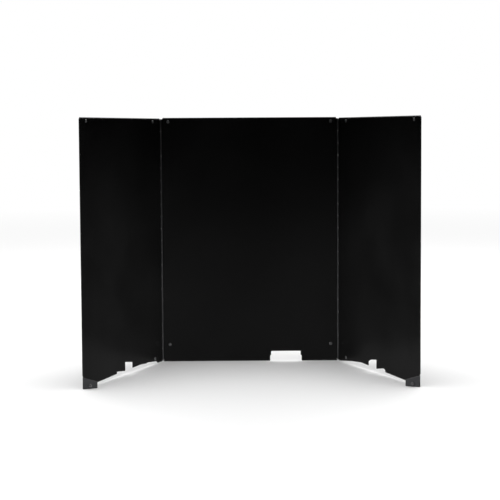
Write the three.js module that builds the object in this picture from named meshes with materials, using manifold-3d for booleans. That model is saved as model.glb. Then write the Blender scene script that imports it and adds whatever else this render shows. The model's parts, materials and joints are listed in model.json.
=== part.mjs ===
// A three-panel fireplace screen in black porcelain-enamelled steel sheet.
// A centre panel stands between two wings that come forward. Every panel is a flat face
// with narrow returns bent backwards along its top and its hinged edges. A continuous
// hinge joins each wing to the centre: its leaves are riveted to the two facing returns,
// so that its barrel shows as a thin line between the faces. Each wing stands on a tab
// folded in from its free edge. Fixing screws with nuts sit in the panels' corners.
// Millimetres, +Z up. The screen faces -Y, stands on Z = 0, and X = 0 is its middle.

import * as THREE from 'three';
import { mergeVertices } from 'three/addons/utils/BufferGeometryUtils.js';
import Module from 'manifold-3d';

const wasm = await Module();
wasm.setup();

// ---- Driving dimensions ----
const SHEET = 1.2; // thickness of the panels
const BEND = 2.0; // outside radius of a bend
const RELIEF = 2.6; // square nick in each top corner, where two bends would meet
const GAP = 0.3; // play between neighbouring pieces
const SIDE_RETURN = 16; // depth of the returns on the upright edges
const TOP_RETURN = 12; // depth of the return along the top
const TOP_SLANT = 20; // how far its end is cut back on the slant at a wing's free edge

const CENTRE_TOP = 610;
const PIN_SPACING = 440; // from one hinge pin to the other
const WING_TOP = 608.5;
const WING_BOTTOM = 1; // the wings' rear corners clear the floor
const WING_LENGTH = 390; // from the hinge pin to the free edge
const SPLAY = 24; // degrees that each wing leans out from straight forward

const PIN = { radius: 0.7, button: 1.55, buttonHeight: 1.0, chamfer: 0.4 };
const KNUCKLE_BORE = 1.0;
const LEAF = 0.7; // thickness of a hinge leaf
const KNUCKLE_RADIUS = KNUCKLE_BORE + LEAF;
const LEAF_DEPTH = 14;
const HINGE_BOTTOM = 3;
const HINGE_TOP = 606;
const KNUCKLES = 20; // along one hinge, taken by its two leaves in turn
const HINGE_FACE = KNUCKLE_RADIUS + GAP; // from the pin to the face of a return

const RIVET_SETBACK = 9; // from the pin to the row of rivets
const RIVET_HEIGHTS = [45, 218, 392, 565];
const RIVET = { radius: 1.6, play: 0.2, chamfer: 0.4 };
const RIVET_HEAD = { radius: 3.2, height: 0.5 }; // flat, on the leaf
const RIVET_TAIL = { radius: 2.6, height: 1.3 }; // closed, inside the return

const SCREW = { radius: 2, reach: 9, point: 0.7 }; // reach: what stands out behind the sheet
const SCREW_HEAD = { radius: 4, height: 2.4, rim: 0.6 };
const NUT = { radius: 4.05, height: 3.2 }; // radius across the corners
const HOLE_PLAY = 0.3;

const CENTRE_SCREW_INSET = 18; // from the hinge pin
const TOP_SCREW_HEIGHT = 600;
const CENTRE_LOW_SCREW_HEIGHT = 43;
const WING_SCREW_REAR = 43; // distances along the wing from the hinge pin
const WING_SCREW_FRONT = 361;
const WING_LOW_SCREW_HEIGHT = 13.5;

// Cut-outs in the lower edges.
const CENTRE_NOTCH = { middle: 89, width: 74, height: 24.5, mouth: 79, mouthHeight: 14 };

// The wings' lower edges, each as distances from the hinge pin and heights. Both have a low
// rear corner, a notch half way and a raised stretch in front of it.
const LEFT_LOWER_EDGE = [
  [28, WING_BOTTOM], [34, 5.6], [81, 10.4], [87, 8.8], [113, 10.8], [158, 10],
  [158, 24], [194, 30], [194, 8.4], [234, 13.5], [234, 8], [395, 1.5],
];
const RIGHT_LOWER_EDGE = [
  [12, WING_BOTTOM], [72, 8.8], [119, 13], [155, 11.5],
  [155, 21.5], [164.5, 26.8], [192.5, 31.2], [192.5, 9.2],
  [225, 15.6], [234, 13.4], [234, 8], [395, 1.5],
];

// The front foot is a tab at each wing's free edge, folded in until it faces forward.
const TAB_BEND = 2.4; // outside radius
const TAB_LENGTH = 31; // beyond its bend
const TAB_TURN = 90 + SPLAY; // degrees
const TAB_ROOT = 26; // height at the bend
const TAB_END = { low: 3, high: 16 };
const TAB_SCREW = { along: 15, height: 8 };
const TAB_RELIEF = 29; // below this height the face stops short, where the tab's bend starts

const enamel = { color: 0x060607, roughness: 0.18, metalness: 0.0 };
const hingeSteel = { color: 0x1a1a1c, roughness: 0.35, metalness: 0.8 };
const fixings = { color: 0x2a2b2e, roughness: 0.3, metalness: 0.9 };

const rad = THREE.MathUtils.degToRad;

// ---- Solids ----
function toSolid(geometry) {
  const bare = geometry.clone();
  bare.deleteAttribute('normal');
  bare.deleteAttribute('uv');
  const merged = mergeVertices(bare, 1e-4);
  return new wasm.Manifold(new wasm.Mesh({
    numProp: 3,
    vertProperties: merged.attributes.position.array,
    triVerts: Uint32Array.from(merged.index.array),
  }));
}

function toGeometry(solid) {
  const { vertProperties, triVerts } = solid.getMesh();
  const geometry = new THREE.BufferGeometry();
  geometry.setAttribute('position', new THREE.BufferAttribute(vertProperties, 3));
  geometry.setIndex(new THREE.BufferAttribute(triVerts, 1));
  geometry.computeVertexNormals();
  return geometry;
}

function namedMesh(name, geometry, finish) {
  const mesh = new THREE.Mesh(geometry, new THREE.MeshStandardMaterial(finish));
  mesh.name = name;
  return mesh;
}

function polygon(points) {
  return new THREE.Shape(points.map(([a, b]) => new THREE.Vector2(a, b)));
}

// Points of an arc, with its end points.
function arc(x, y, radius, fromDegrees, toDegrees, steps) {
  return Array.from({ length: steps + 1 }, (_, i) => {
    const angle = rad(fromDegrees + ((toDegrees - fromDegrees) * i) / steps);
    return [x + radius * Math.cos(angle), y + radius * Math.sin(angle)];
  });
}

function extrude(shape, depth, curveSegments = 12) {
  return new THREE.ExtrudeGeometry(shape, { depth, bevelEnabled: false, curveSegments });
}

// An outline in the XY plane, carried up from one height to another.
function upright(outline, low, high) {
  return toSolid(extrude(polygon(outline), high - low).translate(0, 0, low));
}

// An outline of X and Z values, carried through the sheet along Y.
function throughFace(outline, near = -6, far = 6) {
  const geometry = extrude(polygon(outline), far - near).translate(0, 0, -far);
  return toSolid(geometry.rotateX(Math.PI / 2));
}

// A round hole's cutter along Y, centred at X and Z.
function holeThroughFace(x, z, radius) {
  return throughFace(arc(x, z, radius, 0, 330, 11));
}

// A round hole's cutter along X, centred on the rivet row.
function holeThroughSide(x, z, radius) {
  const geometry = new THREE.CylinderGeometry(radius, radius, 8, 12).rotateZ(Math.PI / 2);
  return toSolid(geometry.translate(x, RIVET_SETBACK, z));
}

// ---- Panels ----
// Each outline below is drawn with the face along y = 0 and the back at y > 0.

// The bend and return at x = edge, whose face runs on towards -side.
function returnOutline(edge, side) {
  const inside = BEND - SHEET;
  const outer = arc(0, BEND, BEND, 270, 360, 4).map(([a, b]) => [edge - side * (BEND - a), b]);
  const inner = arc(0, BEND, inside, 360, 270, 4).map(([a, b]) => [edge - side * (BEND - a), b]);
  return [...outer, [edge, SIDE_RETURN], [edge - side * SHEET, SIDE_RETURN], ...inner];
}

// A face from x = left to x = right with a return at both ends.
function channelOutline(left, right) {
  return [...returnOutline(right, 1), ...returnOutline(left, -1).reverse()];
}

// A face with a return at x = hinge only, cut square at x = free.
function angleOutline(hinge, free, side) {
  return [[free, SHEET], [free, 0], ...returnOutline(hinge, -side)];
}

// The return along a panel's top, running between the corner reliefs.
function topReturn(left, right, top) {
  const low = top - 3 * RELIEF;
  const outline = [
    [0, low],
    ...arc(BEND, top - BEND, BEND, 180, 90, 4),
    [TOP_RETURN, top],
    [TOP_RETURN, top - SHEET],
    ...arc(BEND, top - BEND, BEND - SHEET, 90, 180, 4),
    [SHEET, low],
  ];
  const alongX = new THREE.Matrix4().set(0, 0, 1, 0, 1, 0, 0, 0, 0, 1, 0, 0, 0, 0, 0, 1);
  const geometry = extrude(polygon(outline), right - left - 2 * RELIEF).applyMatrix4(alongX);
  return toSolid(geometry.translate(left + RELIEF, 0, 0));
}

function cutRivetHoles(solid, x) {
  return RIVET_HEIGHTS.reduce(
    (rest, z) => rest.subtract(holeThroughSide(x, z, RIVET.radius + HOLE_PLAY)),
    solid,
  );
}

function cutScrewHoles(solid, places) {
  return places.reduce(
    (rest, [x, z]) => rest.subtract(holeThroughFace(x, z, SCREW.radius + HOLE_PLAY)),
    solid,
  );
}

function centreScrewPlaces() {
  const x = PIN_SPACING / 2 - CENTRE_SCREW_INSET;
  return [
    ['top_left', -x, TOP_SCREW_HEIGHT],
    ['top_right', x, TOP_SCREW_HEIGHT],
    ['bottom_left', -x, CENTRE_LOW_SCREW_HEIGHT],
    ['bottom_right', x, CENTRE_LOW_SCREW_HEIGHT],
  ];
}

function wingScrewPlaces(side) {
  return [
    ['top_rear', side * WING_SCREW_REAR, TOP_SCREW_HEIGHT],
    ['top_front', side * WING_SCREW_FRONT, TOP_SCREW_HEIGHT],
    ['bottom_rear', side * WING_SCREW_REAR, WING_LOW_SCREW_HEIGHT],
  ];
}

function centrePanel() {
  const edge = PIN_SPACING / 2 - HINGE_FACE;
  const { middle, width, height, mouth, mouthHeight } = CENTRE_NOTCH;
  const notch = [
    [middle - mouth / 2, -5],
    [middle + mouth / 2, -5],
    [middle + mouth / 2, mouthHeight],
    [middle + width / 2, mouthHeight],
    [middle + width / 2, height],
    [middle - width / 2, height],
    [middle - width / 2, mouthHeight],
    [middle - mouth / 2, mouthHeight],
  ];
  let solid = upright(channelOutline(-edge, edge), 0, CENTRE_TOP - RELIEF);
  solid = solid.add(topReturn(-edge, edge, CENTRE_TOP));
  solid = solid.subtract(throughFace(notch));
  solid = cutScrewHoles(solid, centreScrewPlaces().map(([, x, z]) => [x, z]));
  solid = cutRivetHoles(solid, edge);
  return cutRivetHoles(solid, -edge);
}

// What is cut away under a wing.
function wingLowerCut(side) {
  const edge = side > 0 ? RIGHT_LOWER_EDGE : LEFT_LOWER_EDGE;
  const cut = [[edge[0][0], -5], ...edge, [edge.at(-1)[0], -5]];
  return cut.map(([u, z]) => [side * u, z]);
}

// The corner cut off a wing's top return, so that it doesn't stand out past the free edge.
function topSlant(side) {
  const outer = WING_LENGTH + 5;
  const inner = WING_LENGTH - RELIEF - 1;
  const back = TOP_RETURN + 5;
  const cut = [[inner, BEND], [outer, BEND], [outer, back], [inner - 1.5 * TOP_SLANT, back]];
  return upright(cut.map(([u, y]) => [side * u, y]), WING_TOP - 2 * RELIEF, WING_TOP + 5);
}

// The front foot, seen from above: a short run of face, the bend and the tab.
function tabOutline(side) {
  const bendX = WING_LENGTH - TAB_BEND;
  const inside = TAB_BEND - SHEET;
  const last = 90 - TAB_TURN;
  const along = [Math.cos(rad(last - 90)), Math.sin(rad(last - 90))];
  const outer = arc(bendX, -inside, TAB_BEND, 90, last, 7);
  const inner = arc(bendX, -inside, inside, last, 90, 7);
  const step = ([x, y]) => [x + TAB_LENGTH * along[0], y + TAB_LENGTH * along[1]];
  const outline = [[bendX - 4, SHEET], ...outer, step(outer.at(-1)), step(inner[0]), ...inner];
  return [...outline, [bendX - 4, 0]].map(([x, y]) => [side * x, y]);
}

// The place of the tab: from the end of its bend, X runs out along it, Y goes into it.
function tabPlace(side) {
  const place = new THREE.Object3D();
  const face = rad(90 - TAB_TURN);
  const x = WING_LENGTH - TAB_BEND + TAB_BEND * Math.cos(face);
  const y = -(TAB_BEND - SHEET) + TAB_BEND * Math.sin(face);
  place.position.set(side * x, y, 0);
  place.rotation.z = side * rad(180 - TAB_TURN);
  place.updateMatrix();
  return place;
}

function wingPanel(side) {
  const hinge = side * HINGE_FACE;
  const free = side * WING_LENGTH;
  const left = Math.min(hinge, free);
  const right = Math.max(hinge, free);
  const webEnd = side * (WING_LENGTH - TAB_BEND);
  const upper = angleOutline(hinge, free, side);
  const lower = angleOutline(hinge, webEnd, side);
  let solid = upright(upper, TAB_RELIEF, WING_TOP - RELIEF);
  solid = solid.add(upright(lower, WING_BOTTOM, TAB_RELIEF + SHEET));
  solid = solid.add(topReturn(left, right, WING_TOP));
  solid = solid.subtract(topSlant(side));
  solid = solid.subtract(throughFace(wingLowerCut(side)));
  solid = solid.add(frontFoot(side));
  solid = cutScrewHoles(solid, wingScrewPlaces(side).map(([, x, z]) => [x, z]));
  return cutRivetHoles(solid, hinge);
}

function frontFoot(side) {
  const tab = upright(tabOutline(side), 0, TAB_ROOT);
  const above = [[0, TAB_ROOT], [TAB_LENGTH + 5, TAB_END.high], [TAB_LENGTH + 5, 40], [0, 40]];
  const below = [[0, 0], [TAB_LENGTH + 5, TAB_END.low], [TAB_LENGTH + 5, -5], [0, -5]];
  const place = tabPlace(side).matrix;
  const cutter = (outline) => {
    const drawn = outline.map(([a, z]) => [-side * a, z]);
    const geometry = extrude(polygon(drawn), 8).translate(0, 0, -4).rotateX(Math.PI / 2);
    return toSolid(geometry.applyMatrix4(place));
  };
  const hole = toSolid(
    new THREE.CylinderGeometry(SCREW.radius + HOLE_PLAY, SCREW.radius + HOLE_PLAY, 8, 12)
      .translate(-side * TAB_SCREW.along, 0, TAB_SCREW.height)
      .applyMatrix4(place),
  );
  return tab.subtract(cutter(above)).subtract(cutter(below)).subtract(hole);
}

// ---- Hinges ----
// A leaf is drawn with the pin at the origin and its plate on the +side of it.
function hingeLeaf(side, first) {
  const pitch = (HINGE_TOP - HINGE_BOTTOM) / KNUCKLES;
  const near = KNUCKLE_RADIUS - LEAF;
  const start = THREE.MathUtils.radToDeg(Math.acos(near / KNUCKLE_RADIUS));
  const curl = polygon([
    [side * near, KNUCKLE_RADIUS + 2],
    ...arc(0, 0, KNUCKLE_RADIUS, start, 360, 10).map(([x, y]) => [side * x, y]),
    [side * KNUCKLE_RADIUS, KNUCKLE_RADIUS + 2],
  ]);
  curl.holes.push(polygon(arc(0, 0, KNUCKLE_BORE, 0, 324, 9)));
  const plate = [
    [side * near, KNUCKLE_RADIUS + 1],
    [side * KNUCKLE_RADIUS, KNUCKLE_RADIUS + 1],
    [side * KNUCKLE_RADIUS, LEAF_DEPTH],
    [side * near, LEAF_DEPTH],
  ];
  let solid = upright(plate, HINGE_BOTTOM, HINGE_TOP);
  for (let i = first; i < KNUCKLES; i += 2) {
    const low = HINGE_BOTTOM + i * pitch + GAP / 2;
    solid = solid.add(toSolid(extrude(curl, pitch - GAP).translate(0, 0, low)));
  }
  return cutRivetHoles(solid, side * KNUCKLE_RADIUS);
}

function lathe(profile, segments) {
  return new THREE.LatheGeometry(profile.map(([r, z]) => new THREE.Vector2(r, z)), segments);
}

// A plain wire with an upset button at both ends.
function hingePin() {
  const low = HINGE_BOTTOM - GAP;
  const high = HINGE_TOP + GAP;
  const { radius, button, buttonHeight, chamfer } = PIN;
  const profile = [
    [0, low - buttonHeight],
    [button - chamfer, low - buttonHeight],
    [button, low - buttonHeight + chamfer],
    [button, low],
    [radius, low],
    [radius, high],
    [button, high],
    [button, high + buttonHeight - chamfer],
    [button - chamfer, high + buttonHeight],
    [0, high + buttonHeight],
  ];
  return lathe(profile, 12).rotateX(Math.PI / 2);
}

// A rivet along X: its flat head is on the leaf, its tail inside the return.
function rivet(side) {
  const { radius, play, chamfer } = RIVET;
  const head = KNUCKLE_RADIUS - LEAF - play;
  const tail = HINGE_FACE + SHEET + play;
  const profile = [
    [0, head - RIVET_HEAD.height],
    [RIVET_HEAD.radius - chamfer, head - RIVET_HEAD.height],
    [RIVET_HEAD.radius, head],
    [radius, head],
    [radius, tail],
    [RIVET_TAIL.radius, tail],
    [RIVET_TAIL.radius - chamfer, tail + RIVET_TAIL.height],
    [0, tail + RIVET_TAIL.height],
  ];
  return lathe(profile, 10).rotateZ((-side * Math.PI) / 2);
}

// ---- Screws and nuts, along Y with the head at y < 0 ----
function screw() {
  const { radius, reach, point } = SCREW;
  const dome = arc(0, 0, 1, 90, 0, 3).map(([across, up]) => [
    SCREW_HEAD.radius * across,
    -GAP - SCREW_HEAD.rim - (SCREW_HEAD.height - SCREW_HEAD.rim) * up,
  ]);
  const shank = [
    [SCREW_HEAD.radius, -GAP],
    [radius, -GAP],
    [radius, SHEET + reach - point],
    [radius - point, SHEET + reach],
    [0, SHEET + reach],
  ];
  return lathe([...dome, ...shank], 12);
}

function nut() {
  const shape = polygon(arc(0, 0, NUT.radius, 0, 300, 5));
  shape.holes.push(polygon(arc(0, 0, SCREW.radius + HOLE_PLAY, 0, 330, 11)));
  return extrude(shape, NUT.height).rotateX(-Math.PI / 2).translate(0, SHEET + GAP, 0);
}

function addFixing(group, name, x, z) {
  const place = new THREE.Group();
  place.position.set(x, 0, z);
  place.add(namedMesh(`${name}_screw`, screw(), fixings));
  place.add(namedMesh(`${name}_nut`, nut(), fixings));
  group.add(place);
}

function addLeaf(group, name, side, first) {
  group.add(namedMesh(name, toGeometry(hingeLeaf(side, first)), hingeSteel));
  RIVET_HEIGHTS.forEach((z, i) => {
    const mesh = namedMesh(`${name}_rivet_${i + 1}`, rivet(side), fixings);
    mesh.position.set(0, RIVET_SETBACK, z);
    group.add(mesh);
  });
}

// ---- Assembly ----
function wing(name, side) {
  const group = new THREE.Group();
  group.position.x = (side * PIN_SPACING) / 2;
  group.rotation.z = -side * rad(90 - SPLAY);
  group.add(namedMesh(`${name}_wing_panel`, toGeometry(wingPanel(side)), enamel));
  addLeaf(group, `${name}_hinge_wing_leaf`, side, 1);
  wingScrewPlaces(side).forEach(([where, x, z]) => addFixing(group, `${name}_wing_${where}`, x, z));
  const tab = tabPlace(side);
  addFixing(tab, `${name}_wing_foot`, -side * TAB_SCREW.along, TAB_SCREW.height);
  group.add(tab);
  return group;
}

function centreHinge(name, side) {
  const group = new THREE.Group();
  group.position.x = (side * PIN_SPACING) / 2;
  addLeaf(group, `${name}_hinge_centre_leaf`, -side, 0);
  group.add(namedMesh(`${name}_hinge_pin`, hingePin(), hingeSteel));
  return group;
}

function screen() {
  const group = new THREE.Group();
  group.add(namedMesh('centre_panel', toGeometry(centrePanel()), enamel));
  centreScrewPlaces().forEach(([where, x, z]) => addFixing(group, `centre_${where}`, x, z));
  group.add(centreHinge('left', -1), centreHinge('right', 1));
  group.add(wing('left', -1), wing('right', 1));
  return group;
}

const fireplaceScreen = new THREE.Group();
const assembled = screen();
const extent = new THREE.Box3().setFromObject(assembled, true);
assembled.position.y = -(extent.min.y + extent.max.y) / 2;
fireplaceScreen.add(assembled);

export default fireplaceScreen;
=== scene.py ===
# A three-panel fireplace screen: a centre panel and two wings of black enamelled steel
# sheet, hinged together, with fixing screws in the corners. Metres, +Z up, seen from -Y.

import json

import bpy
import numpy as np
from mathutils import Matrix, Vector
from mathutils.geometry import delaunay_2d_cdt


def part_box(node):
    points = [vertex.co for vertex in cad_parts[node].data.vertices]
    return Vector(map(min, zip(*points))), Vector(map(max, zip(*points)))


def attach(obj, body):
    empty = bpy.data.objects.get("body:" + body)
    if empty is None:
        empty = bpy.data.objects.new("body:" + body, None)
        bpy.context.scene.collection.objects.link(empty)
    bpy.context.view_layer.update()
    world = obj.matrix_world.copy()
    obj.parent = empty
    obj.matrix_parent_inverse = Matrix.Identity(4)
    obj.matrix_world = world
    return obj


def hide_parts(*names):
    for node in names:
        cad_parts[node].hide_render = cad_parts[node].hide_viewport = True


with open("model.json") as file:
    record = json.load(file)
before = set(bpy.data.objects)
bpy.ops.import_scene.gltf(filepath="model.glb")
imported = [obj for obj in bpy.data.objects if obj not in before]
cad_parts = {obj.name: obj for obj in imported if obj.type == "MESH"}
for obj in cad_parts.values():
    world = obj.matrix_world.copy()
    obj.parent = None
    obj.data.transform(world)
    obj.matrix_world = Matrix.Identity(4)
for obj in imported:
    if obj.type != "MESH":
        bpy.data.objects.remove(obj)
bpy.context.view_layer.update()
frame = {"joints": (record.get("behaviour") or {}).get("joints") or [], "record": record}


# ---- Centre panel ----
# One blank of steel sheet, notched for the gas pipe and pierced for screws and rivets, then
# folded back along its top and both sides. The enamel coat rounds every cut edge.
SHEET = 0.0012
BEND = 0.002  # outside radius
CORNER = 0.0026  # the square left out of each top corner
SIDE_RETURN = 0.016
TOP_RETURN = 0.012
LIP = 0.0002  # a narrow land beside the rounded edge
SCREW_HOLE = 0.0023
RIVET_HOLE = 0.0019
CENTRE_SCREWS = ("top_left", "top_right", "bottom_left", "bottom_right")
NOTCH_WIDE, NOTCH_STEP = 0.0395, 0.014  # half width and height of the notch's lower part
NOTCH_NARROW, NOTCH_ROOF = 0.037, 0.0245  # and of its upper part
CUT_CORNER = 0.0014  # how far a cut corner is eased
EASE_POINTS = 5  # along an eased corner
EDGE_STEPS = 5  # round a half-round edge
PANEL_STEP = 0.011  # between the columns and rows of a panel's mesh
CLOSEST = 3e-5  # points of an outline nearer than this are one
HOLE_BAND = 0.006  # a hole has closer columns and rows this far to each side
FOLD_BAND = 0.15  # share of a fold between its ends and the columns beside it
SWELL = 0.00022  # height of the larger wave in a fired panel
QUARTER = np.pi / 2

COVER_COAT = (0.0008, 0.0008, 0.0008), (0.0012, 0.0012, 0.0012)
GROUND_COAT = (0.005, 0.0051, 0.0054), (0.0095, 0.0097, 0.0102)
THIN_COAT = (0.022, 0.021, 0.021)

pins = {joint["child"]: np.array(joint["pos_m"]) for joint in frame["joints"]}
pin_x, face_y, _ = pins["right_wing"]
centre_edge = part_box("centre_panel")[1].x
hinge_face = pin_x - centre_edge  # from a pin to the face of a return


def middle_of(node):
    """The middle of a CAD node's box."""
    low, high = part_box(node)
    return (np.array(low) + np.array(high)) / 2


rivets = [middle_of(f"left_hinge_centre_leaf_rivet_{i}") for i in (1, 2, 3, 4)]
rivet_heights = [middle[2] for middle in rivets]
rivet_setback = rivets[0][1] - face_y


def rounded(corners, radius):
    """A closed outline with its corners eased: each corner is a parabola from a point on
    the edge before it to a point on the edge after it, both at most radius away."""
    corner = np.asarray(corners, float)
    back = np.roll(corner, 1, 0) - corner
    on = np.roll(corner, -1, 0) - corner
    shorter = np.minimum(np.linalg.norm(back, axis=1), np.linalg.norm(on, axis=1))
    reach = np.minimum(radius, 0.45 * shorter)[:, None]
    start = corner + back / np.linalg.norm(back, axis=1)[:, None] * reach
    end = corner + on / np.linalg.norm(on, axis=1)[:, None] * reach
    t = np.linspace(0, 1, EASE_POINTS)[None, :, None]
    eased = (1 - t) ** 2 * start[:, None] + 2 * t * (1 - t) * corner[:, None] + t**2 * end[:, None]
    return eased.reshape(-1, 2)


def circle(middle, radius, count=28):
    """A hole's outline, clockwise: the middle plus the radius at equal steps of angle."""
    angle = -2 * np.pi * np.arange(count) / count
    return np.asarray(middle) + radius * np.stack([np.cos(angle), np.sin(angle)], 1)


def stepped(loop, columns, rows, longest):
    """The same closed loop with more points: one wherever an edge crosses a column or a
    row, and enough between them that no edge is longer than longest."""
    start, run = loop, np.roll(loop, -1, 0) - loop
    count = np.ceil(np.linalg.norm(run, axis=1) / longest).clip(1)
    even = np.arange(count.max())[None, :] / count[:, None]
    safe = np.where(np.abs(run) < 1e-9, np.nan, run)
    at_columns = (columns[None, :] - start[:, :1]) / safe[:, :1]
    at_rows = (rows[None, :] - start[:, 1:]) / safe[:, 1:]
    share = np.concatenate([even, at_columns, at_rows], 1)
    edge, which = np.nonzero((share >= 0) & (share < 1))
    part = share[edge, which]
    order = np.argsort(edge + part)
    points = start[edge[order]] + run[edge[order]] * part[order, None]
    apart = np.linalg.norm(points - np.roll(points, 1, 0), axis=1) > CLOSEST
    return points[apart]


def outwards(loop):
    """Each point's direction out of the material, as long as its corner's mitre: the sum of
    the normals of its two edges over one plus their dot product."""
    run = np.roll(loop, -1, 0) - loop
    run = run / np.linalg.norm(run, axis=1)[:, None]
    after = np.stack([run[:, 1], -run[:, 0]], 1)
    before = np.roll(after, 1, 0)
    return (after + before) / (1 + (after * before).sum(1))[:, None]


def inside(points, loops):
    """Which points lie in the material: a ray along X crosses the loops an odd number of times."""
    a = np.concatenate(loops)
    b = np.concatenate([np.roll(loop, -1, 0) for loop in loops])
    x, y = points[:, :1], points[:, 1:]
    spans = (a[:, 1] > y) != (b[:, 1] > y)
    rise = np.where(a[:, 1] == b[:, 1], 1, b[:, 1] - a[:, 1])
    crossing = a[:, 0] + (y - a[:, 1]) * (b[:, 0] - a[:, 0]) / rise
    return (spans & (x < crossing)).sum(1) % 2 == 1


def clear_of(points, loops, distance):
    """Which points are further than distance from every edge of the loops."""
    a = np.concatenate(loops)
    run = np.concatenate([np.roll(loop, -1, 0) for loop in loops]) - a
    offset = points[:, None] - a[None]
    share = ((offset * run).sum(2) / (run**2).sum(1)).clip(0, 1)
    nearest = np.linalg.norm(offset - share[..., None] * run, axis=2).min(1)
    return nearest > distance


def beside_holes(lines, holes, axis):
    """The lines, and seven more beside each hole, 2 mm apart, so that a fold near a hole
    keeps its round."""
    middles = np.array([hole[:, axis].mean() for hole in holes])
    extra = middles[:, None] + np.linspace(-HOLE_BAND, HOLE_BAND, 7)
    return np.unique(np.round(np.concatenate([lines, extra.ravel()]), 6))


def blank(outline, holes, columns, rows, thickness, longest):
    """A flat sheet with half-round edges, as points (along, up, depth), faces, and each
    point's share of the edge. Its near face has depth 0. The outline and holes are drawn in
    by half the thickness and joined by a triangulation through every crossing of the columns
    and rows; the edge is a half circle of five steps around each loop."""
    half = thickness / 2
    columns, rows = beside_holes(columns, holes, 0), beside_holes(rows, holes, 1)
    loops = [stepped(loop, columns, rows, longest) for loop in (outline, *holes)]
    rims = [loop - half * outwards(loop) for loop in loops]
    lands = [loop - (half + LIP) * outwards(loop) for loop in loops]
    grid = np.stack(np.meshgrid(columns, rows), -1).reshape(-1, 2)
    grid = grid[inside(grid, lands)]
    grid = grid[clear_of(grid, lands, LIP)]
    sizes = [len(loop) for loop in rims + lands]
    firsts = np.cumsum([0, *sizes[:-1]])
    ring = [np.stack([f + np.arange(n), f + (np.arange(n) + 1) % n], 1) for f, n in zip(firsts, sizes)]
    points = np.concatenate([*rims, *lands, grid])
    cut = delaunay_2d_cdt(points.tolist(), np.concatenate(ring).tolist(), [], 0, 1e-7, False)
    flat = np.array([tuple(v) for v in cut[0]])
    tri = np.array(cut[2])
    tri = tri[inside(flat[tri].mean(1), rims)]

    n = len(flat)
    edge = np.concatenate([tri[:, [0, 1]], tri[:, [1, 2]], tri[:, [2, 0]]])
    edge = edge[~np.isin(edge[:, 0] * n + edge[:, 1], edge[:, 1] * n + edge[:, 0])]
    run = flat[edge[:, 1]] - flat[edge[:, 0]]
    run = run / np.linalg.norm(run, axis=1)[:, None]
    normal = np.zeros((n, 2, 2))
    normal[edge[:, 0], 0] = np.stack([run[:, 1], -run[:, 0]], 1)
    normal[edge[:, 1], 1] = np.stack([run[:, 1], -run[:, 0]], 1)
    round_edge = edge[:, 0]
    pair = normal[round_edge]
    mitre = pair.sum(1) / (1 + (pair[:, 0] * pair[:, 1]).sum(1))[:, None]

    steps = EDGE_STEPS
    angle = np.pi * np.arange(1, steps) / steps
    out = flat[round_edge][None] + half * np.sin(angle)[:, None, None] * mitre[None]
    depth = np.broadcast_to((half * (1 - np.cos(angle)))[:, None, None], (steps - 1, len(edge), 1))
    near = np.column_stack([flat, np.zeros(n)])
    far = np.column_stack([flat, np.full(n, thickness)])
    points = np.concatenate([near, far, np.concatenate([out, depth], 2).reshape(-1, 3)])
    share = np.concatenate([np.zeros(2 * n), np.ones((steps - 1) * len(edge))])

    place = np.full(n, -1)
    place[round_edge] = np.arange(len(edge))
    level = 2 * n + np.arange(steps - 1)[:, None] * len(edge)
    first = np.concatenate([edge[None, :, 0], level + place[edge[:, 0]], edge[None, :, 0] + n])
    last = np.concatenate([edge[None, :, 1], level + place[edge[:, 1]], edge[None, :, 1] + n])
    rim = np.stack([first[:-1], first[1:], last[1:], last[:-1]], 2).reshape(-1, 4)
    return points, [*tri.tolist(), *(tri[:, ::-1] + n).tolist(), *rim.tolist()], share


def bend(past, depth, radius, turn):
    """A sheet that meets a fold line at past = 0. Beyond it the sheet runs round an arc of
    that radius on its near face (a negative radius turns it the other way) until it has
    turned far enough, then straight on. Gives how far it gets along and back."""
    angle = np.clip(past / radius, min(turn, 0), max(turn, 0))
    straight = past - angle * radius
    along = (radius - depth) * np.sin(angle) + straight * np.cos(angle)
    back = radius - (radius - depth) * np.cos(angle) + straight * np.sin(angle)
    return along, back


def arc_steps(line, length, count=8):
    """The columns over a fold: its two ends, the steps between, and one just before and after."""
    share = np.arange(count + 1) / count
    return line + length * np.concatenate([[-FOLD_BAND], share, [1 + FOLD_BAND]])


def add_piece(name, points, faces, **attributes):
    """A mesh object at the origin, smooth, with a point attribute for each array given."""
    mesh = bpy.data.meshes.new(name)
    mesh.from_pydata(points.tolist(), [], faces)
    for key, values in attributes.items():
        mesh.attributes.new(key, "FLOAT", "POINT").data.foreach_set("value", values.astype(np.float32))
    mesh.shade_smooth()
    piece = bpy.data.objects.new(name, mesh)
    bpy.context.scene.collection.objects.link(piece)
    return piece


def swell(along, up, width, height):
    """The slight hollow and crown that firing leaves in a flat sheet: one wave across it on
    a slant and a lower one up it, both fading to nothing at the edges."""
    across = np.clip(along / width, 0, 1)
    rise = np.clip(up / height, 0, 1)
    fade = 16 * across * (1 - across) * rise * (1 - rise)
    wave = np.sin(2 * np.pi * (1.3 * across + 0.4 * rise)) + 0.7 * np.sin(2 * np.pi * (1.7 * rise + 0.2))
    return SWELL * fade * wave


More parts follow.
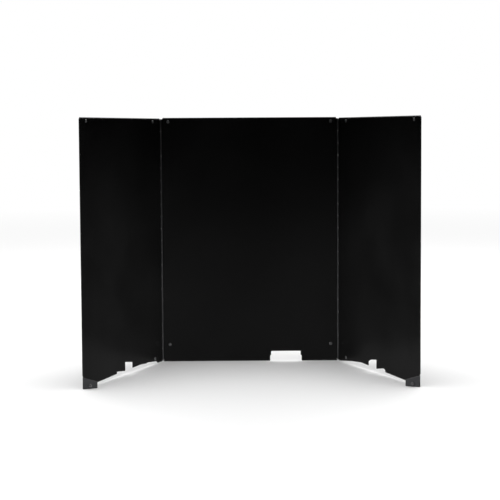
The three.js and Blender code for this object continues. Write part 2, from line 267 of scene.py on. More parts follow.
class Nodes:
    """A material's node tree, with short ways to add and join nodes."""

    def __init__(self, name):
        self.material = bpy.data.materials.new(name)
        self.material.use_nodes = True
        self.tree = self.material.node_tree
        self.shader = self.tree.nodes["Principled BSDF"]
        self.coordinates = self.tree.nodes.new("ShaderNodeTexCoord").outputs["Object"]

    def join(self, source, target):
        self.tree.links.new(source, target)

    def noise(self, scale, detail, stretch=(1, 1, 1)):
        mapping = self.tree.nodes.new("ShaderNodeMapping")
        mapping.inputs["Scale"].default_value = stretch
        node = self.tree.nodes.new("ShaderNodeTexNoise")
        node.inputs["Scale"].default_value = scale
        node.inputs["Detail"].default_value = detail
        self.join(self.coordinates, mapping.inputs["Vector"])
        self.join(mapping.outputs["Vector"], node.inputs["Vector"])
        return node.outputs["Fac"]

    def attribute(self, name):
        node = self.tree.nodes.new("ShaderNodeAttribute")
        node.attribute_name = name
        return node.outputs["Fac"]

    def between(self, amount, low, high, from_low=0.0, from_high=1.0):
        """A number that goes from low to high as amount goes over its own range."""
        node = self.tree.nodes.new("ShaderNodeMapRange")
        node.inputs["From Min"].default_value = from_low
        node.inputs["From Max"].default_value = from_high
        node.inputs["To Min"].default_value = low
        node.inputs["To Max"].default_value = high
        self.join(amount, node.inputs["Value"])
        return node.outputs["Result"]

    def combine(self, first, second, operation="ADD"):
        node = self.tree.nodes.new("ShaderNodeMath")
        node.operation = operation
        node.use_clamp = True
        self.join(first, node.inputs[0])
        self.join(second, node.inputs[1])
        return node.outputs["Value"]

    def blend(self, amount, first, second):
        """A colour between two, each a tuple or a socket."""
        node = self.tree.nodes.new("ShaderNodeMix")
        node.data_type = "RGBA"
        self.join(amount, node.inputs["Factor"])
        for socket, colour in ((node.inputs[6], first), (node.inputs[7], second)):
            if isinstance(colour, tuple):
                socket.default_value = (*colour, 1)
            else:
                self.join(colour, socket)
        return node.outputs[2]

    def bump(self, height, distance, strength):
        node = self.tree.nodes.new("ShaderNodeBump")
        node.inputs["Distance"].default_value = distance
        node.inputs["Strength"].default_value = strength
        self.join(height, node.inputs["Height"])
        self.join(node.outputs["Normal"], self.shader.inputs["Normal"])


def enamel():
    """Black porcelain enamel: a glossy cover coat with a faint orange peel and clouds of
    slightly different gloss; a duller, faintly blue ground coat on the back; cut edges
    where the coat draws thin and a little paler."""
    nodes = Nodes("black_enamel")
    clouds = nodes.noise(7, 4)
    speckle = nodes.noise(900, 2)
    edge = nodes.attribute("edge")
    back = nodes.attribute("back")
    cover = nodes.blend(nodes.between(clouds, 0, 1, 0.35, 0.65), *COVER_COAT)
    ground = nodes.blend(nodes.between(speckle, 0, 1, 0.4, 0.66), *GROUND_COAT)
    coat = nodes.blend(back, cover, ground)
    worn = nodes.between(nodes.noise(160, 3), 0.1, 0.75, 0.35, 0.7)
    colour = nodes.blend(nodes.combine(edge, worn, "MULTIPLY"), coat, THIN_COAT)
    nodes.join(colour, nodes.shader.inputs["Base Color"])
    gloss = nodes.between(clouds, 0.17, 0.25, 0.3, 0.7)
    dull = nodes.between(back, 0, 0.2)
    nodes.join(nodes.combine(gloss, dull), nodes.shader.inputs["Roughness"])
    nodes.bump(nodes.noise(330, 2), 0.00004, 0.5)
    return nodes.material


def panel_columns(low, high, spacing=PANEL_STEP):
    """Evenly spaced columns or rows over the flat of a panel."""
    return np.linspace(low, high, int((high - low) / spacing) + 2)[1:-1]


enamel_coat = enamel()


def centre_panel():
    """The blank's outline, run counter-clockwise in (along, up), then its three folds."""
    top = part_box("centre_panel")[1].z
    fold_x, fold_z = centre_edge - BEND, top - BEND
    end_x = fold_x + BEND * QUARTER + SIDE_RETURN - BEND
    end_z = fold_z + BEND * QUARTER + TOP_RETURN - BEND
    notch = frame["record"]["physics"]["openings"][0]["box_m"]
    middle = (notch[0][0] + notch[1][0]) / 2
    wide_left, wide_right = middle - NOTCH_WIDE, middle + NOTCH_WIDE
    narrow_left, narrow_right = middle - NOTCH_NARROW, middle + NOTCH_NARROW
    shoulder = top - CORNER
    inner = centre_edge - CORNER
    outline = [
        (-end_x, 0), (wide_left, 0), (wide_left, NOTCH_STEP), (narrow_left, NOTCH_STEP),
        (narrow_left, NOTCH_ROOF), (narrow_right, NOTCH_ROOF), (narrow_right, NOTCH_STEP),
        (wide_right, NOTCH_STEP), (wide_right, 0), (end_x, 0), (end_x, shoulder),
        (inner, shoulder), (inner, end_z), (-inner, end_z), (-inner, shoulder), (-end_x, shoulder),
    ]
    rivet_x = fold_x + BEND * QUARTER + rivet_setback - BEND
    holes = [circle((side * rivet_x, z), RIVET_HOLE) for side in (-1, 1) for z in rivet_heights]
    for place in CENTRE_SCREWS:
        x, _, z = middle_of(f"centre_{place}_screw")
        holes.append(circle((x, z), SCREW_HOLE))
    folds = arc_steps(fold_x, BEND * QUARTER)
    columns = np.concatenate([-folds, panel_columns(-fold_x, fold_x), folds])
    rows = np.concatenate([panel_columns(0, fold_z), arc_steps(fold_z, BEND * QUARTER)])
    ring = rounded(outline, CUT_CORNER)
    flat, faces, edge = blank(ring, holes, np.sort(columns), rows, SHEET, PANEL_STEP)
    x, z, depth = flat.T
    side = np.sign(x)
    along, back = bend(side * x - fold_x, depth, BEND, QUARTER)
    rise, over = bend(z - fold_z, depth, BEND, QUARTER)
    y = back + over - depth - swell(x + fold_x, z, 2 * fold_x, fold_z)
    points = np.stack([side * (fold_x + along), face_y + y, fold_z + rise], 1)
    return points, faces, edge, np.where(depth > SHEET / 2, 1.0, 0.0)


points, faces, edge, back = centre_panel()
piece = add_piece("centre_panel_enamelled", points, faces, edge=edge, back=back)
piece.data.materials.append(enamel_coat)
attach(piece, "centre")
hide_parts("centre_panel")


# ---- Wing panels ----
# Each is cut and folded as the centre panel is, with a return at its hinge and a plain free
# edge. It stands on a tab folded in at the free edge, and its lower edge is raised and
# notched to clear the fittings on the hearth, a little differently on each side.
WING_LENGTH = 0.390  # from the pin to the free edge
TAB_INSIDE = 0.0012  # inside radius of the tab's fold
TAB_LENGTH = 0.031
TAB_ROOT = 0.026  # height at the fold
TAB_TIP = (0.0026, 0.0174)  # heights of the corners at its end
TAB_STEP = 0.006  # between the columns and rows of its mesh
RELIEF = 0.029  # the gap between the tab and the free edge above it ends here
FOOT = 0.001  # the rear foot's height off the floor
TOE, TOE_STEP = 0.004, 0.002  # the front foot's length before the fold, and the step up from it
TOP_SLANT = 0.020  # the top return is cut back by this much at the free edge
SLANT_START = 0.001  # and the slant starts this far in from its outer end
WING_SCREWS = {"top_rear": (0.043, 0.600), "top_front": (0.361, 0.600), "bottom_rear": (0.043, 0.0135)}
TAB_SCREW = (0.015, 0.008)  # along the tab and up; the others are from the pin and up
LOWER_EDGES = {  # distances from the pin and heights, up to the last raised stretch
    -1: [
        (0.028, FOOT), (0.034, 0.0056), (0.081, 0.0104), (0.087, 0.0088), (0.113, 0.0108),
        (0.158, 0.010), (0.158, 0.024), (0.194, 0.030), (0.194, 0.0084), (0.234, 0.0135),
        (0.234, 0.008),
    ],
    1: [
        (0.012, FOOT), (0.072, 0.0088), (0.119, 0.013), (0.155, 0.0115), (0.155, 0.0215),
        (0.1645, 0.0268), (0.1925, 0.0312), (0.1925, 0.0092), (0.225, 0.0156), (0.234, 0.0134),
        (0.234, 0.008),
    ],
}

mounts = {mount["name"]: mount for mount in frame["record"]["mounts"]}
rear_edge = mounts["right_wing_rear_edge"]
splay = np.arctan2(rear_edge["axis"][1], rear_edge["axis"][0])


def spun(points, angle):
    """Points turned about +Z: x cos - y sin, and x sin + y cos."""
    x, y, z = points.T
    turned_x = x * np.cos(angle) - y * np.sin(angle)
    turned_y = x * np.sin(angle) + y * np.cos(angle)
    return np.stack([turned_x, turned_y, z], 1)


def on_wing(points, side):
    """Points drawn with the wing straight out along X from its pin, turned forward about it."""
    return spun(points, -side * (QUARTER - splay)) + (side * pin_x, face_y, 0)


def wing_panel(side):
    """The blank's outline in (distance from the pin, up), then the hinge return, the top
    return and the tab folded from it."""
    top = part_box("right_wing_panel")[1].z
    hinge_fold, top_fold = hinge_face + BEND, top - BEND
    tab_fold = WING_LENGTH - TAB_INSIDE - SHEET
    hinge_end = hinge_fold - BEND * QUARTER - SIDE_RETURN + BEND
    top_end = top_fold + BEND * QUARTER + TOP_RETURN - BEND
    tab_turn = QUARTER + splay
    tab_start = tab_fold + TAB_INSIDE * tab_turn
    tab_end = tab_start + TAB_LENGTH
    shoulder, inner, outer = top - CORNER, hinge_face + CORNER, WING_LENGTH - CORNER
    outline = [
        (hinge_end, FOOT), *LOWER_EDGES[side], (tab_fold - TOE, TOE_STEP), (tab_fold - TOE, 0),
        (tab_start, 0), (tab_end, TAB_TIP[0]), (tab_end, TAB_TIP[1]), (tab_start, TAB_ROOT),
        (tab_fold, TAB_ROOT), (tab_fold, RELIEF), (WING_LENGTH, RELIEF), (WING_LENGTH, shoulder),
        (outer, shoulder), (outer - SLANT_START, top_fold + BEND * QUARTER),
        (outer - TOP_SLANT - SLANT_START, top_end), (inner, top_end), (inner, shoulder),
        (hinge_end, shoulder),
    ]
    rivet_u = hinge_fold - BEND * QUARTER - rivet_setback + BEND
    middles = [(rivet_u, z, RIVET_HOLE) for z in rivet_heights]
    middles += [(u, z, SCREW_HOLE) for u, z in WING_SCREWS.values()]
    middles.append((tab_start + TAB_SCREW[0], TAB_SCREW[1], SCREW_HOLE))
    holes = [circle((side * u, z), radius) for u, z, radius in middles]
    ring = rounded(outline, CUT_CORNER) * (side, 1)
    columns = [
        arc_steps(hinge_fold, -BEND * QUARTER),
        panel_columns(hinge_fold, tab_fold),
        arc_steps(tab_fold, TAB_INSIDE * tab_turn, 12),
        panel_columns(tab_start, tab_end, TAB_STEP),
    ]
    rows = [
        panel_columns(0, TAB_ROOT, TAB_STEP),
        panel_columns(RELIEF, top_fold),
        arc_steps(top_fold, BEND * QUARTER),
    ]
    columns = np.sort(side * np.concatenate(columns))
    flat, faces, edge = blank(ring[::side], holes, columns, np.concatenate(rows), SHEET, PANEL_STEP)
    u, z, depth = side * flat[:, 0], flat[:, 1], flat[:, 2]
    past_hinge, past_top = hinge_fold - u, z - top_fold
    past_tab = np.where(z < (TAB_ROOT + RELIEF) / 2, u - tab_fold, np.minimum(u - tab_fold, 0))
    along_hinge, back_hinge = bend(past_hinge, depth, BEND, QUARTER)
    along_top, back_top = bend(past_top, depth, BEND, QUARTER)
    along_tab, back_tab = bend(past_tab, depth, -TAB_INSIDE, -tab_turn)
    u = u - (along_hinge - past_hinge) + (along_tab - past_tab)
    y = back_hinge + back_top + back_tab - 2 * depth
    y = y - swell(u - hinge_fold, z, tab_fold - hinge_fold, top_fold)
    points = np.stack([side * u, y, top_fold + along_top], 1)
    return on_wing(points, side), faces, edge, np.where(depth > SHEET / 2, 1.0, 0.0)


for name, side in (("left", -1), ("right", 1)):
    points, faces, edge, back = wing_panel(side)
    piece = add_piece(f"{name}_wing_enamelled", points, faces, edge=edge, back=back)
    piece.data.materials.append(enamel_coat)
    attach(piece, f"{name}_wing")
    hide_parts(f"{name}_wing_panel")


# ---- Hinge leaves ----
# Each hinge is two strips of blackened steel. Ten tabs along one side of each strip are
# rolled round the pin; the other leaf's tabs fill the gaps between them.
LEAF = 0.0007
KNUCKLE_BORE = 0.001
KNUCKLE = KNUCKLE_BORE + LEAF
LEAF_DEPTH = 0.014
LEAF_EDGE = KNUCKLE + 0.0003  # the plate is cut back this far from the pin between its tabs
KNUCKLES = 20
PLAY = 0.0003
ROLL = np.radians(300)
LEAF_CORNER = 0.0009
LEAF_STEP = 0.003  # between the columns and rows of a leaf's mesh
STRIP_STEEL = (0.035, 0.035, 0.036), (0.07, 0.07, 0.072)
RUBBED_STEEL = (0.16, 0.155, 0.15)


def blackened_steel():
    """Rolled steel strip under a thin black oxide: long faint streaks up the strip, the paler
    ones duller, and edges rubbed paler in places."""
    nodes = Nodes("blackened_steel")
    streaks = nodes.noise(1, 4, (900, 900, 25))
    rubbed = nodes.noise(60, 3)
    colour = nodes.blend(nodes.between(streaks, 0, 1, 0.3, 0.7), *STRIP_STEEL)
    pale = nodes.combine(nodes.attribute("edge"), nodes.between(rubbed, 0, 1, 0.4, 0.7), "MULTIPLY")
    nodes.join(nodes.blend(pale, colour, RUBBED_STEEL), nodes.shader.inputs["Base Color"])
    nodes.join(nodes.between(streaks, 0.28, 0.45), nodes.shader.inputs["Roughness"])
    nodes.shader.inputs["Metallic"].default_value = 0.85
    nodes.bump(streaks, 0.00003, 0.6)
    return nodes.material


def hinge_leaf(side, first, low, high):
    """A strip with ten tabs, then each tab rolled: the strip lies on the given side of the
    pin, and the outline is drawn in (distance past the start of the roll, up)."""
    pitch = (high - low) / KNUCKLES
    reach = KNUCKLE * ROLL
    bottom, top = low + PLAY / 2, high - PLAY / 2
    up = bottom + pitch * np.arange(first, KNUCKLES, 2)[:, None] + (0, 0, pitch - PLAY, pitch - PLAY)
    past = np.tile([-LEAF_EDGE, reach, reach, -LEAF_EDGE], KNUCKLES // 2)
    tabs = np.stack([past, up.ravel()], 1)
    ends = [(-LEAF_EDGE, top), (-LEAF_DEPTH, top), (-LEAF_DEPTH, bottom), (-LEAF_EDGE, bottom)]
    outline = np.concatenate([tabs, ends])
    repeated = np.linalg.norm(outline - np.roll(outline, 1, 0), axis=1) < 1e-6
    holes = [circle((-rivet_setback, z), RIVET_HOLE) for z in rivet_heights]
    plate = panel_columns(-LEAF_DEPTH, -LEAF_EDGE, LEAF_STEP)
    columns = np.concatenate([plate, arc_steps(0, reach, 24)])
    rows = panel_columns(low, high, LEAF_STEP)
    ring = rounded(outline[~repeated], LEAF_CORNER)
    flat, faces, edge = blank(ring, holes, columns, rows, LEAF, high - low)
    along, back = bend(flat[:, 0], flat[:, 2], KNUCKLE, ROLL)
    points = np.stack([side * (KNUCKLE - back), -along, flat[:, 1]], 1)
    if side > 0:
        faces = [face[::-1] for face in faces]
    return points, faces, edge


def at_hinge(points, body, side):
    """Points drawn about a hinge's pin, moved to it, and turned with the wing if they are
    on one."""
    return on_wing(points, side) if body == "wing" else points + (side * pin_x, face_y, 0)


steel = blackened_steel()
leaf_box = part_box("left_hinge_centre_leaf")
for name, side in (("left", -1), ("right", 1)):
    for body, way, first in (("centre", -side, 0), ("wing", side, 1)):
        points, faces, edge = hinge_leaf(way, first, leaf_box[0].z, leaf_box[1].z)
        points = at_hinge(points, body, side)
        piece = add_piece(f"{name}_hinge_{body}_leaf_rolled", points, faces, edge=edge)
        piece.data.materials.append(steel)
        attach(piece, "centre" if body == "centre" else f"{name}_wing")
        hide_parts(f"{name}_hinge_{body}_leaf")


# ---- Hinge pins ----
# A full-length wire in each hinge, with both ends upset into a button after assembly.
PIN_RADIUS = 0.0007
PIN_BUTTON = 0.00155
BUTTON_HEIGHT = 0.001
EASING = 0.0004  # on the corners of pins and rivets


def eased(profile, radius):
    """A profile from axis to axis, as (distance from the axis, height), with its corners
    rounded by parabolas and its two ends left on the axis."""
    arcs = rounded(profile, radius).reshape(len(profile), -1, 2)
    return np.concatenate([[profile[0]], arcs[1:-1].reshape(-1, 2), [profile[-1]]])


def turned(profile, count=24):
    """A profile carried round the axis: radius times the cosine and sine of the angle, and
    the height. The two ends on the axis are single points."""
    radius, height = np.asarray(profile[1:-1]).T
    angle = 2 * np.pi * np.arange(count) / count
    x = radius[:, None] * np.cos(angle)
    y = radius[:, None] * np.sin(angle)
    z = np.broadcast_to(height[:, None], x.shape)
    return close_ends(np.stack([x, y, z], 2), profile[0][1], profile[-1][1])


def close_ends(rings, first, last):
    """Rings of points, joined each to the next, with a point on the axis closing each end.
    The rings run from high to low on the outside of the piece."""
    levels, count = rings.shape[:2]
    index = np.arange(levels * count).reshape(levels, count)
    on = np.roll(index, -1, 1)
    walls = np.stack([index[:-1], index[1:], on[1:], on[:-1]], 2).reshape(-1, 4)
    start, end = levels * count, levels * count + 1
    caps = np.concatenate([
        np.stack([np.full(count, start), index[0], on[0]], 1),
        np.stack([np.full(count, end), on[-1], index[-1]], 1),
    ])
    points = np.concatenate([rings.reshape(-1, 3), [(0, 0, first), (0, 0, last)]])
    return points, [*walls.tolist(), *caps.tolist()]


for name, side in (("left", -1), ("right", 1)):
    low, high = (corner.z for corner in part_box(f"{name}_hinge_pin"))
    profile = [
        (0, high), (PIN_BUTTON, high), (PIN_BUTTON, high - BUTTON_HEIGHT),
        (PIN_RADIUS, high - BUTTON_HEIGHT), (PIN_RADIUS, low + BUTTON_HEIGHT),
        (PIN_BUTTON, low + BUTTON_HEIGHT), (PIN_BUTTON, low), (0, low),
    ]
    points, faces = turned(eased(profile, EASING))
    piece = add_piece(f"{name}_hinge_pin_wire", points + (side * pin_x, face_y, 0), faces)
    piece.data.materials.append(steel)
    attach(piece, "centre")
    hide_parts(f"{name}_hinge_pin")


# ---- Rivets ----
# Steel rivets hold each leaf to its return, four to a leaf. The flat head lies on the leaf,
# and the tail is closed to a low button inside the return.
RIVET_SHANK = 0.0016
RIVET_HEAD, RIVET_HEAD_HEIGHT = 0.0032, 0.0005
RIVET_TAIL, RIVET_TAIL_HEIGHT = 0.0026, 0.0013
OXIDE = (0.09, 0.09, 0.092), (0.24, 0.24, 0.245)


def black_oxide():
    """Screws, nuts and rivets in black oxide: dark and satin, with a fine grain and paler
    patches where a tool has rubbed them."""
    nodes = Nodes("black_oxide")
    grain = nodes.noise(1500, 2)
    patches = nodes.noise(420, 3)
    colour = nodes.blend(nodes.between(patches, 0, 1, 0.42, 0.7), *OXIDE)
    nodes.join(colour, nodes.shader.inputs["Base Color"])
    nodes.join(nodes.between(grain, 0.2, 0.4), nodes.shader.inputs["Roughness"])
    nodes.shader.inputs["Metallic"].default_value = 0.9
    nodes.bump(grain, 0.00002, 0.5)
    return nodes.material


def pointing(points, origin, axis):
    """Points drawn about +Z, moved so that +Z runs along a level axis from the origin."""
    axis = np.asarray(axis, float)
    up = np.array([0.0, 0.0, 1.0])
    across = np.cross(up, axis)
    return np.asarray(origin) + points @ np.stack([across, up, axis])


oxide = black_oxide()
leaf_face, return_back = KNUCKLE - LEAF, hinge_face + SHEET
tail_end, head_end = return_back + RIVET_TAIL_HEIGHT, leaf_face - RIVET_HEAD_HEIGHT
rivet_profile = [
    (0, tail_end), (RIVET_TAIL, tail_end), (RIVET_TAIL, return_back), (RIVET_SHANK, return_back),
    (RIVET_SHANK, leaf_face), (RIVET_HEAD, leaf_face), (RIVET_HEAD, head_end), (0, head_end),
]
for name, side in (("left", -1), ("right", 1)):
    for body, way in (("centre", -side), ("wing", side)):
        for i, z in enumerate(rivet_heights, 1):
            points, faces = turned(eased(rivet_profile, EASING), 28)
            points = at_hinge(pointing(points, (0, rivet_setback, z), (way, 0, 0)), body, side)
            piece = add_piece(f"{name}_hinge_{body}_rivet_{i}", points, faces)
            piece.data.materials.append(oxide)
            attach(piece, "centre" if body == "centre" else f"{name}_wing")
            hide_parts(f"{name}_hinge_{body}_leaf_rivet_{i}")


# ---- Screws and nuts ----
# M4 pan-head screws with a cross recess go through the panels' corners and are held by hex
# nuts behind. Each screw and its nut stopped at an angle of their own.
SCREW, SCREW_REACH = 0.002, 0.0102  # radius, and length under the head
HEAD, HEAD_HEIGHT, HEAD_RIM = 0.004, 0.0024, 0.0006
SEAT_IN, SEAT_UP = 0.0002, 0.00015  # how the corner between the rim and the seat is eased
ARM, HALF_ARM = 0.58, 0.17  # length and half width of the recess's arms, over the head's radius
ARM_END_SLOPE, ARM_SIDE_SLOPE = 0.08, 0.05
RECESS_DEPTH, RECESS_RISE = 0.0016, 0.0014  # at the axis, and how much it loses over the head
PITCH, THREAD_DEPTH = 0.0007, 0.00032
PLAIN_DEPTH = 0.3  # share of the thread's depth taken where it has run out
POINT_DRAW = 0.0006  # how much the last turn narrows
NUT_CORNER, NUT_HEIGHT = 0.00405, 0.0032
NUT_STEPS = 60
NUT_CONE = 0.97  # the chamfer starts at this share of the apothem
FLARE, FLARE_HEIGHT = 0.0004, 0.0003  # at the ends of the bore
SHARP = np.radians(35)  # edges that turn by more aren't smoothed
SCREW_TURN, NUT_TURN = 2.4, 1.2  # from one screw to the next, and from a screw to its nut


def in_arm(along, across):
    """How far down into an arm of the recess a place on the head lies: 1 on its floor, 0
    outside it, and between them on its sloping ends and sides."""
    ends = ((ARM - np.abs(along)) / ARM_END_SLOPE).clip(0, 1)
    sides = ((HALF_ARM - np.abs(across)) / ARM_SIDE_SLOPE).clip(0, 1)
    return ends * sides


def pan_screw():
    """Drawn about +Z with the seat at height 0. The dome is a square grid drawn into a disc
    (each side times the root of one less half the other squared) so that its lines follow
    the cross recess; rings from its rim make the seat and the threaded shank, whose radius
    is a triangle wave of height over pitch plus angle over a turn."""
    half = np.array([HALF_ARM - ARM_SIDE_SLOPE, HALF_ARM, 0.34, ARM - ARM_END_SLOPE, ARM, 0.78, 0.93, 1])
    grid = np.concatenate([-half[::-1], [0], half])
    n = len(grid)
    s, t = np.meshgrid(grid, grid)
    x, y = s * np.sqrt(1 - t**2 / 2), t * np.sqrt(1 - s**2 / 2)
    dome = HEAD_RIM + (HEAD_HEIGHT - HEAD_RIM) * np.sqrt((1 - x**2 - y**2).clip(0))
    cross = np.maximum(in_arm(s, t), in_arm(t, s))
    dome = dome - cross * (RECESS_DEPTH - RECESS_RISE * np.hypot(s, t))
    top = np.stack([HEAD * x, HEAD * y, dome], 2).reshape(-1, 3)
    index = np.arange(n * n).reshape(n, n)
    quads = np.stack([index[:-1, :-1], index[:-1, 1:], index[1:, 1:], index[1:, :-1]], 2).reshape(-1, 4)
    rim = np.concatenate([index[0, :-1], index[:-1, -1], index[-1, :0:-1], index[:0:-1, 0]])

    angle = np.arctan2(top[rim, 1], top[rim, 0])
    height = -np.arange(0, SCREW_REACH, PITCH / 6)
    wave = 2 * np.abs((height[:, None] / PITCH + angle / (2 * np.pi)) % 1 - 0.5)
    fade = (np.minimum(-height, height + SCREW_REACH) / PITCH).clip(0, 1)[:, None]
    point = ((height + SCREW_REACH) / PITCH).clip(0, 1)[:, None]
    groove = THREAD_DEPTH * (fade * wave + PLAIN_DEPTH * (1 - fade))
    thread = SCREW - groove - POINT_DRAW * (1 - point)
    ring_radius = np.concatenate([np.full((2, len(rim)), HEAD), thread])
    ring_radius[1] -= SEAT_IN
    ring_height = np.concatenate([[SEAT_UP, 0], height])
    rings = np.stack([ring_radius * np.cos(angle), ring_radius * np.sin(angle)], 2)
    ring_heights = np.broadcast_to(ring_height[:, None, None], (*ring_radius.shape, 1))
    rings = np.concatenate([rings, ring_heights], 2)
    last = n * n + ring_radius.size
    levels = np.concatenate([rim[None], np.arange(n * n, last).reshape(-1, len(rim))])
    on = np.roll(levels, -1, 1)
    walls = np.stack([levels[:-1], levels[1:], on[1:], on[:-1]], 2).reshape(-1, 4)
    cap = np.stack([np.full(len(rim), last), on[-1], levels[-1]], 1)
    points = np.concatenate([top, rings.reshape(-1, 3), [(0, 0, -SCREW_REACH)]])
    return points, [*quads.tolist(), *walls.tolist(), *cap.tolist()]


def hex_nut():
    """Drawn about +Z under height 0. A section runs up the bore, out over the faces and down
    the flats, carried round in steps. A flat is at the apothem over the cosine of the angle
    from its middle, or on the chamfer's cone where that is nearer the axis."""
    angle = 2 * np.pi * np.arange(NUT_STEPS) / NUT_STEPS
    sixth = np.pi / 3
    apothem = NUT_CORNER * np.cos(sixth / 2)
    flat = apothem / np.cos((angle % sixth) - sixth / 2)
    low = np.array([0, 0.00012, 0.00025, 0.0004, 0.0006])
    height = np.concatenate([low, NUT_HEIGHT - low[::-1]])
    cone = apothem * NUT_CONE + np.minimum(height, NUT_HEIGHT - height) * np.sqrt(3)
    outside = np.minimum(flat[None], cone[:, None])
    bore = np.array([SCREW + FLARE, SCREW, SCREW, SCREW + FLARE])[:, None] * np.ones(NUT_STEPS)
    bore_height = np.array([NUT_HEIGHT, NUT_HEIGHT - FLARE_HEIGHT, FLARE_HEIGHT, 0])
    radius = np.concatenate([outside, bore])
    height = -np.concatenate([height, bore_height])
    section = [radius * np.cos(angle), radius * np.sin(angle)]
    points = np.stack([*section, np.broadcast_to(height[:, None], radius.shape)], 2)
    index = np.arange(radius.size).reshape(radius.shape)
    below, on = np.roll(index, -1, 0), np.roll(index, -1, 1)
    faces = np.stack([index, below, np.roll(below, -1, 1), on], 2).reshape(-1, 4)
    return points.reshape(-1, 3), faces.tolist()


places = [("centre", f"centre_{corner}", None) for corner in CENTRE_SCREWS]
for name in ("left", "right"):
    places += [(f"{name}_wing", f"{name}_wing_{place}", place) for place in (*WING_SCREWS, "foot")]

for count, (body, name, place) in enumerate(places):
    side = -1 if body == "left_wing" else 1
    for kind, made, seat, start in (("screw", pan_screw(), 0, 0), ("nut", hex_nut(), SHEET, NUT_TURN)):
        points, faces = made
        points = spun(points, SCREW_TURN * count + start)
        if place in WING_SCREWS:
            u, z = WING_SCREWS[place]
            points = on_wing(pointing(points, (side * u, seat, z), (0, -1, 0)), side)
        else:
            x, _, z = middle_of(f"{name}_screw")
            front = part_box(f"{name}_screw")[0].y + HEAD_HEIGHT + PLAY
            points = pointing(points, (x, front + seat, z), (0, -1, 0))
        piece = add_piece(f"{name}_{kind}_turned", points, faces)
        piece.data.set_sharp_from_angle(angle=SHARP)
        piece.data.materials.append(oxide)
        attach(piece, body)
        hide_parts(f"{name}_{kind}")


# ---- Floor, light and camera ----
# A pale floor that runs into a pale surround. The enamel mirrors neither of them. It mirrors
# sheets of light on the floor that only reflections show, which are dim in front, so that
# the panels stay black, and brighter all round. Two soft beams light the wings' insides,
# one lamp hangs overhead, and two stand behind. A fade is given by its two distances.
FLOOR_RADIUS, FLOOR_GREY, FLOOR_FADE = 14, 0.86, (2, 7)
SURROUND_RADIUS, SURROUND_STRENGTH, SURROUND_FADE = 7, 1.1, (0.3, 3.5)
FRONT_RADIUS, FRONT_STRENGTH, FRONT_FADE = 11, 0.085, (4, 11)
FRONT_ARC = np.radians(np.linspace(-158, -22, 40))
FRONT_NEAR = [(0.64, -0.27), (0.5, 0.4), (-0.5, 0.4), (-0.64, -0.27)]  # past the wings and centre
LAYER = 0.0001  # height of one stage piece over the next
BEAM_PLACE, BEAM_AIM = (-1.0, -1.3, 0.3), (0.38, -0.12, 0.08)  # for the right wing
BEAM_POWER, BEAM_ANGLE, BEAM_SOFTNESS = 1050, 35, 0.15
CAMERA_PLACE = (-0.0195, -3.1028, 0.5713)
CAMERA_TURN, CAMERA_TILT, CAMERA_ROLL = -0.35, 4.0, -0.32  # degrees
CAMERA_LENS, CAMERA_SHIFT = 94.67, -0.05


def stage_piece(name, outline, height, material):
    """A flat piece that isn't part of the object."""
    corners = np.column_stack([np.asarray(outline), np.full(len(outline), height)])
    piece = add_piece(name, corners, [list(range(len(corners)))])
    piece.data.materials.append(material)
    return piece


def fading(name, near, far, start, end, colour):
    """A material whose glow goes from near to far, and its grey from colour to nothing, as
    the distance from the middle goes from start to end."""
    nodes = Nodes(name)
    length = nodes.tree.nodes.new("ShaderNodeVectorMath")
    length.operation = "LENGTH"
    nodes.join(nodes.coordinates, length.inputs[0])
    distance = length.outputs["Value"]
    nodes.join(nodes.between(distance, near, far, start, end), nodes.shader.inputs["Emission Strength"])
    nodes.join(nodes.between(distance, colour, 0, start, end), nodes.shader.inputs["Base Color"])
    nodes.shader.inputs["Emission Color"].default_value = (1, 1, 1, 1)
    nodes.shader.inputs["Specular IOR Level"].default_value = 0
    nodes.shader.inputs["Roughness"].default_value = 0.8
    return nodes.material


def sheet_of_light(name, outline, height, strength, start, end):
    """A flat light that only reflections show, and that fades with distance."""
    sheet = stage_piece(name, outline, height, fading(name, strength, 0, start, end, 0))
    sheet.visible_camera = False
    sheet.visible_diffuse = False
    sheet.visible_shadow = False


pale_floor = fading("pale_floor", 0, 1, *FLOOR_FADE, FLOOR_GREY)
floor = stage_piece("floor", circle((0, 0), FLOOR_RADIUS, 96)[::-1], 0, pale_floor)
floor.visible_glossy = False
surround = circle((0, 0), SURROUND_RADIUS, 96)[::-1]
sheet_of_light("surround_sheet", surround, LAYER, SURROUND_STRENGTH, *SURROUND_FADE)
far_edge = FRONT_RADIUS * np.column_stack([np.cos(FRONT_ARC), np.sin(FRONT_ARC)])
front = np.vstack([FRONT_NEAR, far_edge])
sheet_of_light("front_sheet", front, 2 * LAYER, FRONT_STRENGTH, *FRONT_FADE)

unlit = bpy.data.collections.new("left_out_of_the_beams")
unlit.objects.link(floor)
unlit.collection_objects[0].light_linking.link_state = "EXCLUDE"

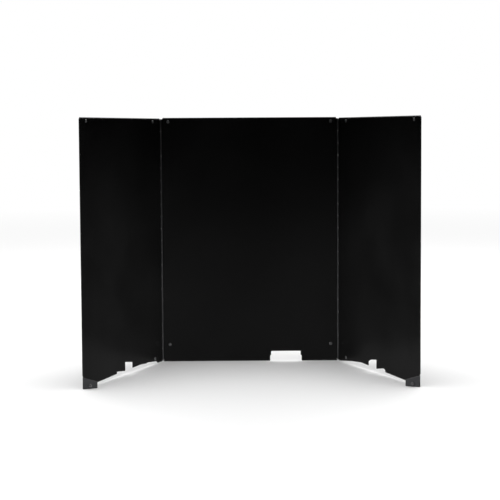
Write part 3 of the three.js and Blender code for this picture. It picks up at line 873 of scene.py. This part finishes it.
world = bpy.data.worlds.new("pale_surround")
bpy.context.scene.world = world
world.use_nodes = True
world.node_tree.nodes["Background"].inputs["Color"].default_value = (1, 1, 1, 1)
world.node_tree.nodes["Background"].inputs["Strength"].default_value = 1
world.cycles_visibility.glossy = False
bpy.context.scene.view_settings.view_transform = "Standard"


def stand_lamp(lamp, place, aim):
    """Put a lamp at a place, turned to face a point and itself unseen."""
    stand = bpy.data.objects.new(lamp.name, lamp)
    bpy.context.scene.collection.objects.link(stand)
    stand.location = place
    stand.rotation_euler = (Vector(aim) - Vector(place)).to_track_quat("-Z", "Y").to_euler()
    stand.visible_camera = False
    return stand


def softbox(name, place, aim, size, power):
    """A square lamp."""
    lamp = bpy.data.lights.new(name, "AREA")
    lamp.size = size
    lamp.energy = power
    stand_lamp(lamp, place, aim)


def beam(name, place, aim):
    """A soft beam on the screen alone, that the floor and reflections don't show."""
    lamp = bpy.data.lights.new(name, "SPOT")
    lamp.energy = BEAM_POWER
    lamp.spot_size = np.radians(BEAM_ANGLE)
    lamp.spot_blend = 1
    lamp.shadow_soft_size = BEAM_SOFTNESS
    stand = stand_lamp(lamp, place, aim)
    stand.visible_glossy = False
    stand.light_linking.receiver_collection = unlit


softbox("top_lamp", (0, 0.3, 3.0), (0, 0, 0), 2.0, 30)
for side in (-1, 1):
    mirror = np.array([side, 1, 1])
    softbox(f"back_lamp_{side}", (1.6 * side, 2.0, 2.3), (0, 0.2, 0.3), 1.2, 14)
    beam(f"wing_beam_{side}", mirror * BEAM_PLACE, mirror * BEAM_AIM)

camera_data = bpy.data.cameras.new("camera")
camera_data.lens = CAMERA_LENS
camera_data.shift_y = CAMERA_SHIFT
camera = bpy.data.objects.new("camera", camera_data)
bpy.context.scene.collection.objects.link(camera)
camera.matrix_world = (
    Matrix.Translation(CAMERA_PLACE)
    @ Matrix.Rotation(np.radians(CAMERA_TURN), 4, "Z")
    @ Matrix.Rotation(np.radians(90 - CAMERA_TILT), 4, "X")
    @ Matrix.Rotation(np.radians(CAMERA_ROLL), 4, "Z")
)
bpy.context.scene.camera = camera
